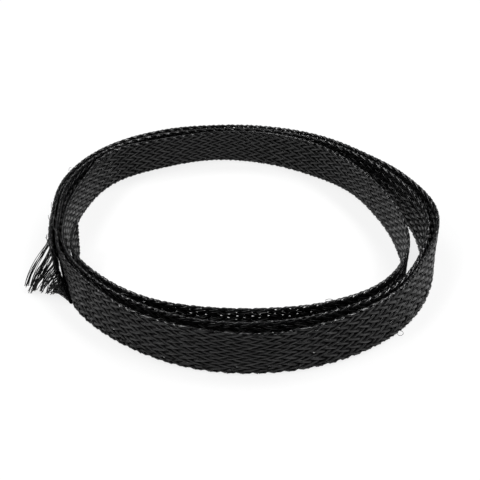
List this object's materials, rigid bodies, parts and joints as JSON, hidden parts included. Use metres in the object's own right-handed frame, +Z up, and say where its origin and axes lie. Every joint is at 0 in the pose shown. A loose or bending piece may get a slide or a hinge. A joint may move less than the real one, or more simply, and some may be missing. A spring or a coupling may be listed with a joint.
{
  "type": "braided cable sleeve",
  "caption": "One metre or so of black braided polyester cable sleeve, flattened and lying on edge in three loose turns, one end frayed.",
  "frame": {"origin": "on the floor, under the middle of the coil's box", "axes": "+Z up along the coil's axis and the sleeve's lay-flat width, -Y towards the viewer, -X towards the frayed end"},
  "size_m": [0.1142, 0.1048, 0.0125],
  "materials": {
    "black_polyester": "satin"
  },
  "bodies": {
    "root": {"sleeve": "black_polyester"}
  },
  "joints": []
}
